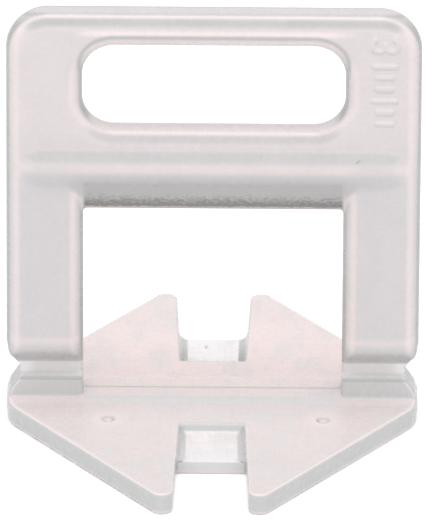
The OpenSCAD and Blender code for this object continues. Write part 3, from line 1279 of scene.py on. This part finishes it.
    def necks(self, foot: Socket) -> Socket:
        """Stubs' outer ends in painted grey shade beside a painted highlight, necks painted paler
        towards their outer ends, and the dark line along the stubs' ledges.

        Args:
            foot: Colour of the plate.

        Returns:
            The colour with stubs and necks on it.
        """
        board, at = self.board, self.at
        stub = board.times(board.between(at.z, *self.stub_z), board.ramp(at.ax, *self.stub_x))
        outer = board.times(stub, board.ramp(at.side, *self.stub_turn),
                            board.ramp(at.rise, *self.stub_rise))
        foot = board.mix(outer, foot, TINT.rim_shade)
        foot = board.mix(board.times(stub, board.hump(at.side, *self.stub_glow)), foot, TINT.web)
        neck = board.times(board.ramp(at.ay, *self.neck_y), board.ramp(at.z, *self.neck_z))
        face = board.mix(board.ramp(at.ax, *self.neck_end), TINT.neck, TINT.web)
        foot = board.mix(neck, foot, face)
        lip = board.times(board.between(at.z, *self.lip_z), board.ramp(at.ay, *self.lip_y),
                          board.ramp(at.ax, *self.lip_x))
        return board.mix(lip, foot, TINT.groove)

    def leg_ends(self, tone: Socket) -> Socket:
        """Paint shade on the legs' round ends above the necks, where they turn down.

        Args:
            tone: Colour of the legs.

        Returns:
            The colour with the ends on it.
        """
        board, at = self.board, self.at
        inward = board.ramp(at.side, *self.leg_side)
        tone = board.mix(board.times(board.ramp(at.z, *self.leg_fade), inward), tone, TINT.nose)
        low = board.times(board.ramp(at.z, *self.leg_low), inward)
        under = board.math("MAXIMUM", board.ramp(at.rise, *self.leg_under), low)
        return board.mix(board.times(under, board.ramp(at.z, *self.leg_end)), tone, TINT.groove)


@dataclass(frozen=True)
class NoseTones(Tones):
    """The bar's slanted nose, which faces down: painted grey shade, darker and speckled towards its
    lower edge, and rougher.
    """

    end: tuple = (10.15, 10.45, 1.0, 0.0)
    top: tuple = (21.4, 20.6)
    foot: tuple = (17.4, 17.9)
    speck: tuple = (0.25, 0.75, -0.36, 0.36)
    speck_scale: tuple = (3.2, 3.2, 4.4)
    darkest: tuple = (19.75, 18.4, 0.0, 0.8)
    lip: tuple = (18.45, 18.3, 0.0, 0.8)
    lip_speck: float = 0.2
    rough_top: tuple = (20.8, 19.8, 0.0, 0.25)
    rough_foot: tuple = (17.4, 17.8)

    def paint(self, tone: Socket) -> Socket:
        """Paint shade on the nose; specks shift the height at which its tones change.

        Args:
            tone: Colour so far.

        Returns:
            The colour with the nose on it.
        """
        board, at = self.board, self.at
        slant = board.times(board.ramp(at.ax, *self.end), board.ramp(at.z, *self.top),
                            board.ramp(at.z, *self.foot))
        tone = board.mix(slant, tone, TINT.nose)
        noise = board.noise(board.mapped(at.point, self.speck_scale), Detail.MIDDLE)
        speck = board.ramp(noise, *self.speck)
        level = board.math("ADD", at.z, speck)
        tone = board.mix(board.times(slant, board.ramp(level, *self.darkest)), tone, TINT.darkest)
        level = board.math("MULTIPLY_ADD", speck, self.lip_speck, at.z)
        return board.mix(board.times(slant, board.ramp(level, *self.lip)), tone, TINT.lip)

    def roughness(self) -> Socket:
        """Roughness that the nose has more than the rest."""
        return self.board.times(self.board.ramp(self.at.z, *self.rough_top),
                                self.board.ramp(self.at.z, *self.rough_foot),
                                self.board.ramp(self.at.ax, *self.end))


@dataclass(frozen=True)
class FlowMarks(Tones):
    """Faint clouds all over, and smears, streaks and thin flow lines on the plate."""

    cloud: tuple = (0.35, 0.7, 1.0, 0.978)
    cloud_scale: float = 0.45
    plate_z: tuple = (2.6, 2.2)
    plate_top: tuple = (0.7, 0.95)
    smear: tuple = (0.5, 0.68, 0.0, 0.45)
    smear_scale: tuple = (0.5, 0.22, 0.4)
    smear_turn: float = 35.0
    streak: tuple = (0.52, 0.72, 0.0, 0.22)
    streak_scale: tuple = (3.0, 0.35, 1.0)
    streak_turn: float = 24.0
    line: tuple = (0.5, 0.016, 0.24)
    line_scales: tuple = ((0.22, 0.8, 0.5), (0.2, 0.9, 0.5))
    line_turns: tuple = (28.0, -62.0)

    def paint(self, tone: Socket) -> Socket:
        """Change the colour by a few per cent.

        Args:
            tone: Colour so far.

        Returns:
            The colour with clouds and flow lines in it.
        """
        board, at = self.board, self.at
        cloud = board.noise(at.point, Detail.FINE, self.cloud_scale)
        tone = board.scaled(tone, board.ramp(cloud, *self.cloud))
        plate = board.times(board.ramp(at.z, *self.plate_z), board.ramp(at.rise, *self.plate_top))
        place = board.mapped(at.point, self.smear_scale, self.smear_turn)
        smear = board.noise(place, Detail.MIDDLE)
        tone = board.mix(board.times(board.ramp(smear, *self.smear), plate), tone, TINT.slope)
        place = board.mapped(at.point, self.streak_scale, self.streak_turn)
        streak = board.noise(place, Detail.MIDDLE)
        tone = board.mix(board.times(board.ramp(streak, *self.streak), plate), tone, TINT.wall)
        for scale, turn in zip(self.line_scales, self.line_turns):
            line = board.noise(board.mapped(at.point, scale, turn), Detail.COARSE)
            tone = board.mix(board.times(board.hump(line, *self.line), plate), tone, TINT.wall)
        return tone


@dataclass(frozen=True)
class MarksAndPinShade(Tones):
    """Parting line, ejector pin marks with painted highlight and shade round their dips, a speck on
    the back web and a scratch on the grip.
    """

    parting_y: tuple = (0.22, 0.22)
    parting_x: tuple = (10.2, 10.4, 1.0, 0.0)
    parting_z: tuple = (2.6, 2.3)
    parting_share: float = 0.5
    plate_z: tuple = FlowMarks.plate_z
    pin_halo: tuple = (0.5, 1.8, 0.4, 0.0)
    pin_ring: tuple = (0.42, 0.36, 0.5)
    pin_middle: tuple = (0.1, 0.35, 0.25, 0.0)
    speck_x: tuple = (-0.56, 0.2)
    speck_y: tuple = (9.9, 0.45)
    speck_z: tuple = (1.4, 1.2, 0.0, 0.8)
    scratch_at: tuple = (11.47, 22.95)
    scratch_way: tuple = (0.8, 0.6)
    scratch_along: tuple = (0.0, 0.4)
    scratch_across: tuple = (0.0, 0.09)
    scratch_y: tuple = (-1.0, -1.3, 0.0, 0.6)

    def parting(self) -> Socket:
        """Share of the mould's parting line, which crosses the plate between the stubs."""
        board, at = self.board, self.at
        return board.times(board.hump(at.y, *self.parting_y), board.ramp(at.ax, *self.parting_x),
                           board.ramp(at.z, *self.parting_z))

    def paint(self, tone: Socket) -> Socket:
        """Put all the marks on.

        Args:
            tone: Colour so far.

        Returns:
            The colour with the marks on it.
        """
        board, at = self.board, self.at
        tone = board.mix(board.times(self.parting(), self.parting_share), tone, TINT.groove)
        speck = board.times(board.hump(at.x, *self.speck_x), board.hump(at.y, *self.speck_y),
                            board.ramp(at.z, *self.speck_z))
        tone = board.mix(speck, self.pins(tone), TINT.groove)
        return board.mix(self.scratch(), tone, TINT.darkest)

    def pins(self, tone: Socket) -> Socket:
        """Painted highlight and shade round the pin marks' dips: a pale halo, a grey ring and a
        pale middle.

        Args:
            tone: Colour so far.

        Returns:
            The colour with the rings on it.
        """
        board, at = self.board, self.at
        plate = board.ramp(at.z, *self.plate_z)
        for mark_x, mark_y in BasePlate.pin_marks:
            dx, dy = board.math("SUBTRACT", at.x, mark_x), board.math("SUBTRACT", at.y, mark_y)
            far = board.math("SQRT", board.math("ADD", board.times(dx, dx), board.times(dy, dy)))
            for share, tint in ((board.ramp(far, *self.pin_halo), TINT.glow),
                                (board.hump(far, *self.pin_ring), TINT.rim_shade),
                                (board.ramp(far, *self.pin_middle), TINT.web)):
                tone = board.mix(board.times(share, plate), tone, tint)
        return tone

    def scratch(self) -> Socket:
        """Share of the short slanted scratch on the grip's front.

        Returns:
            The share.
        """
        board, at = self.board, self.at
        dx = board.math("SUBTRACT", at.x, self.scratch_at[0])
        dz = board.math("SUBTRACT", at.z, self.scratch_at[1])
        run, climb = self.scratch_way
        along = board.math("ADD", board.times(dx, run), board.times(dz, climb))
        across = board.math("SUBTRACT", board.times(dz, run), board.times(dx, climb))
        length = board.hump(along, *self.scratch_along)
        width = board.hump(across, *self.scratch_across)
        return board.times(length, width, board.ramp(at.y, *self.scratch_y))


@dataclass(frozen=True)
class FrostedPlastic:
    """Finish of the moulding: milky natural plastic with painted light and shade, paler where it is
    thin or rounded, grey where it turns away or faces down.

    Depths and heights are in millimetres.
    """

    name: str = "natural_plastic"
    roughness: float = 0.26
    rough_cloud: tuple = (0.3, 0.7, -0.05, 0.06)
    rough_scale: float = 1.3
    specular: float = 0.36
    subsurface: float = 0.2
    spread: tuple = (1.0, 0.9, 0.88)
    depth: float = 0.8
    grain_scale: float = 5.0
    grain_height: float = 0.0001
    flow_scale: tuple = (1.6, 0.5, 0.5)
    flow_turn: float = 12.0
    flow_height: float = 0.0009
    parting_depth: float = 0.02
    bump: float = 0.6

    def make(self) -> bpy.types.Material:
        """Make the material on Object coordinates in millimetres.

        Returns:
            The material.
        """
        material = bpy.data.materials.new(self.name)
        material.use_nodes = True
        board = NodeBoard(material.node_tree)
        at = SkinPlace.on(board)
        nose, marks = NoseTones(board, at), MarksAndPinShade(board, at)
        # base colour with highlights and shade painted in by the skin's turn and place, then flow
        # lines and marks
        colour = nose.paint(FootTones(board, at).paint(FrameTones(board, at).paint()))
        colour = marks.paint(FlowMarks(board, at).paint(colour))
        cloud = board.ramp(board.noise(at.point, Detail.FINE, self.rough_scale), *self.rough_cloud)
        even = board.math("ADD", cloud, self.roughness)
        surface = board.node("ShaderNodeBsdfPrincipled")
        board.put(surface.inputs["Base Color"], colour)
        board.put(surface.inputs["Roughness"], board.math("ADD", even, nose.roughness()))
        board.put(surface.inputs["Normal"], self.grain(board, at, marks.parting()))
        board.put(surface.inputs["Specular IOR Level"], self.specular)
        board.put(surface.inputs["Subsurface Weight"], self.subsurface)
        board.put(surface.inputs["Subsurface Radius"], self.spread)
        board.put(surface.inputs["Subsurface Scale"], self.depth * MM)
        board.close("ShaderNodeOutputMaterial", surface)
        return material

    def grain(self, board: NodeBoard, at: SkinPlace, parting: Socket) -> Socket:
        """Relief too fine for the mesh: moulded grain, flow lines and the parting line.

        Args:
            board: The material's nodes.
            at: Place on the skin.
            parting: Share of the parting line.

        Returns:
            The bumped normal.
        """
        fine = board.noise(at.point, Detail.MIDDLE, self.grain_scale)
        flow = board.noise(board.mapped(at.point, self.flow_scale, self.flow_turn), Detail.COARSE)
        relief = board.math("ADD", board.times(fine, self.grain_height),
                            board.times(flow, self.flow_height))
        relief = board.math("SUBTRACT", relief, board.times(parting, self.parting_depth))
        made = board.node("ShaderNodeBump")
        board.put(made.inputs["Strength"], self.bump)
        board.put(made.inputs["Distance"], MM)
        board.put(made.inputs["Height"], relief)
        return made.outputs["Normal"]


@dataclass(frozen=True)
class PaleFloor:
    """Plain white floor that takes the clip's soft shadow."""

    half: float = 1.5
    colour: tuple = (0.9, 0.9, 0.9)
    bounce: tuple = (0.8, 0.8, 0.8)
    lift: float = 0.25
    drop: float = 2e-5

    def build(self) -> bpy.types.Object:
        """Make the floor just below the clip.

        Returns:
            The floor's object.
        """
        corners = [(u * self.half, v * self.half, -self.drop)
                   for u, v in ((-1, -1), (1, -1), (1, 1), (-1, 1))]
        mesh = bpy.data.meshes.new("floor")
        mesh.from_pydata(corners, [], [(0, 1, 2, 3)])
        floor = bpy.data.objects.new("floor", mesh)
        bpy.context.scene.collection.objects.link(floor)
        material = bpy.data.materials.new("floor_white")
        material.use_nodes = True
        board = NodeBoard(material.node_tree)
        seen = board.seen()
        matt = board.node("ShaderNodeBsdfDiffuse")
        board.put(matt.inputs["Color"], board.mix(seen, self.bounce, self.colour))
        glow = board.node("ShaderNodeEmission")
        board.put(glow.inputs["Strength"], board.math("MULTIPLY", seen, self.lift))
        both = board.node("ShaderNodeAddShader")
        board.put(both.inputs[0], matt.outputs[0])
        board.put(both.inputs[1], glow.outputs[0])
        board.close("ShaderNodeOutputMaterial", both)
        mesh.materials.append(material)
        return floor


@dataclass(frozen=True)
class Lamp:
    """One softbox that looks at the clip's middle."""

    name: str
    azimuth: float
    elevation: float
    power: float
    width: float
    height: float
    reflects: bool = True
    distance: float = 0.6
    aim: tuple = (0.0, 0.0, 0.016)

    def build(self) -> bpy.types.Object:
        """Place the softbox on a sphere round the clip: azimuth 0 is the front, 90 the right.

        Returns:
            The lamp's object.
        """
        data = bpy.data.lights.new(self.name, "AREA")
        data.shape = "RECTANGLE"
        data.size, data.size_y = self.width, self.height
        data.energy = self.power
        lamp = bpy.data.objects.new(self.name, data)
        lamp.visible_glossy = self.reflects
        a, e = math.radians(self.azimuth), math.radians(self.elevation)
        back = Vector((math.sin(a) * math.cos(e), -math.cos(a) * math.cos(e), math.sin(e)))
        lamp.location = Vector(self.aim) + back * self.distance
        lamp.rotation_euler = (-back).to_track_quat("-Z", "Y").to_euler()
        bpy.context.scene.collection.objects.link(lamp)
        return lamp


@dataclass(frozen=True)
class Studio:
    """Soft light, white surroundings and the camera."""

    sky: tuple = (0.82, 0.82, 0.82)
    white: tuple = (1.0, 1.0, 1.0)
    target: tuple = (0.0, 0.0, 16.0)
    elevation: float = 24.717
    azimuth: float = 0.294
    roll: float = 0.307
    distance: float = 987.2
    scale: float = 12.54
    image: tuple = (426, 520)
    target_pixel: tuple = (213.166, 231.037)
    clip_range: tuple = (0.05, 20.0)

    def light(self) -> None:
        """Set the lamps and the world, which the camera sees as white."""
        lamps = (
            Lamp("overhead", azimuth=0.0, elevation=86.0, power=0.95, width=0.24, height=0.24),
            Lamp("fill", azimuth=0.0, elevation=18.0, power=0.6, width=0.5, height=0.4,
                 reflects=False),
        )
        for lamp in lamps:
            lamp.build()
        world = bpy.data.worlds.new("surroundings")
        bpy.context.scene.world = world
        world.use_nodes = True
        board = NodeBoard(world.node_tree)
        back = board.node("ShaderNodeBackground")
        board.put(back.inputs["Color"], board.mix(board.seen(), self.sky, self.white))
        board.close("ShaderNodeOutputWorld", back)

    def camera(self) -> bpy.types.Object:
        """Place the camera at the photograph's viewing angle, with a long lens.

        Returns:
            The camera's object.
        """
        a, e, r = (math.radians(v) for v in (self.azimuth, self.elevation, self.roll))
        ahead = Vector((-math.sin(a) * math.cos(e), math.cos(a) * math.cos(e), -math.sin(e)))
        right = Vector((math.cos(a), math.sin(a), 0.0))
        up = right.cross(ahead)
        right, up = right * math.cos(r) + up * math.sin(r), up * math.cos(r) - right * math.sin(r)
        eye = Vector(self.target) - ahead * self.distance
        off_x = (self.image[0] / 2 - self.target_pixel[0]) / self.scale
        off_y = (self.target_pixel[1] - self.image[1] / 2) / self.scale
        aim = Vector(self.target) + right * off_x + up * off_y
        back = (eye - aim).normalized()
        side = up.cross(back).normalized()
        data = bpy.data.cameras.new("camera")
        data.lens = self.scale * self.distance / max(self.image) * data.sensor_width
        data.clip_start, data.clip_end = self.clip_range
        camera = bpy.data.objects.new("camera", data)
        turn = Matrix((side, back.cross(side), back)).transposed().to_4x4()
        camera.matrix_world = Matrix.Translation(eye * MM) @ turn
        bpy.context.scene.collection.objects.link(camera)
        bpy.context.scene.camera = camera
        return camera


def main() -> None:
    """Build the clip, its finish and the studio in order."""
    logging.basicConfig(level=logging.INFO, format="%(name)s: %(message)s")
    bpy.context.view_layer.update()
    clip = Moulding().build("clip_moulding")
    clip.data.materials.append(FrostedPlastic().make())
    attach(clip, "root")
    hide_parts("clip")
    floor = PaleFloor().build()
    studio = Studio()
    studio.light()
    studio.camera()
    bpy.context.scene.view_settings.view_transform = "Standard"


if __name__ == "__main__":
    main()
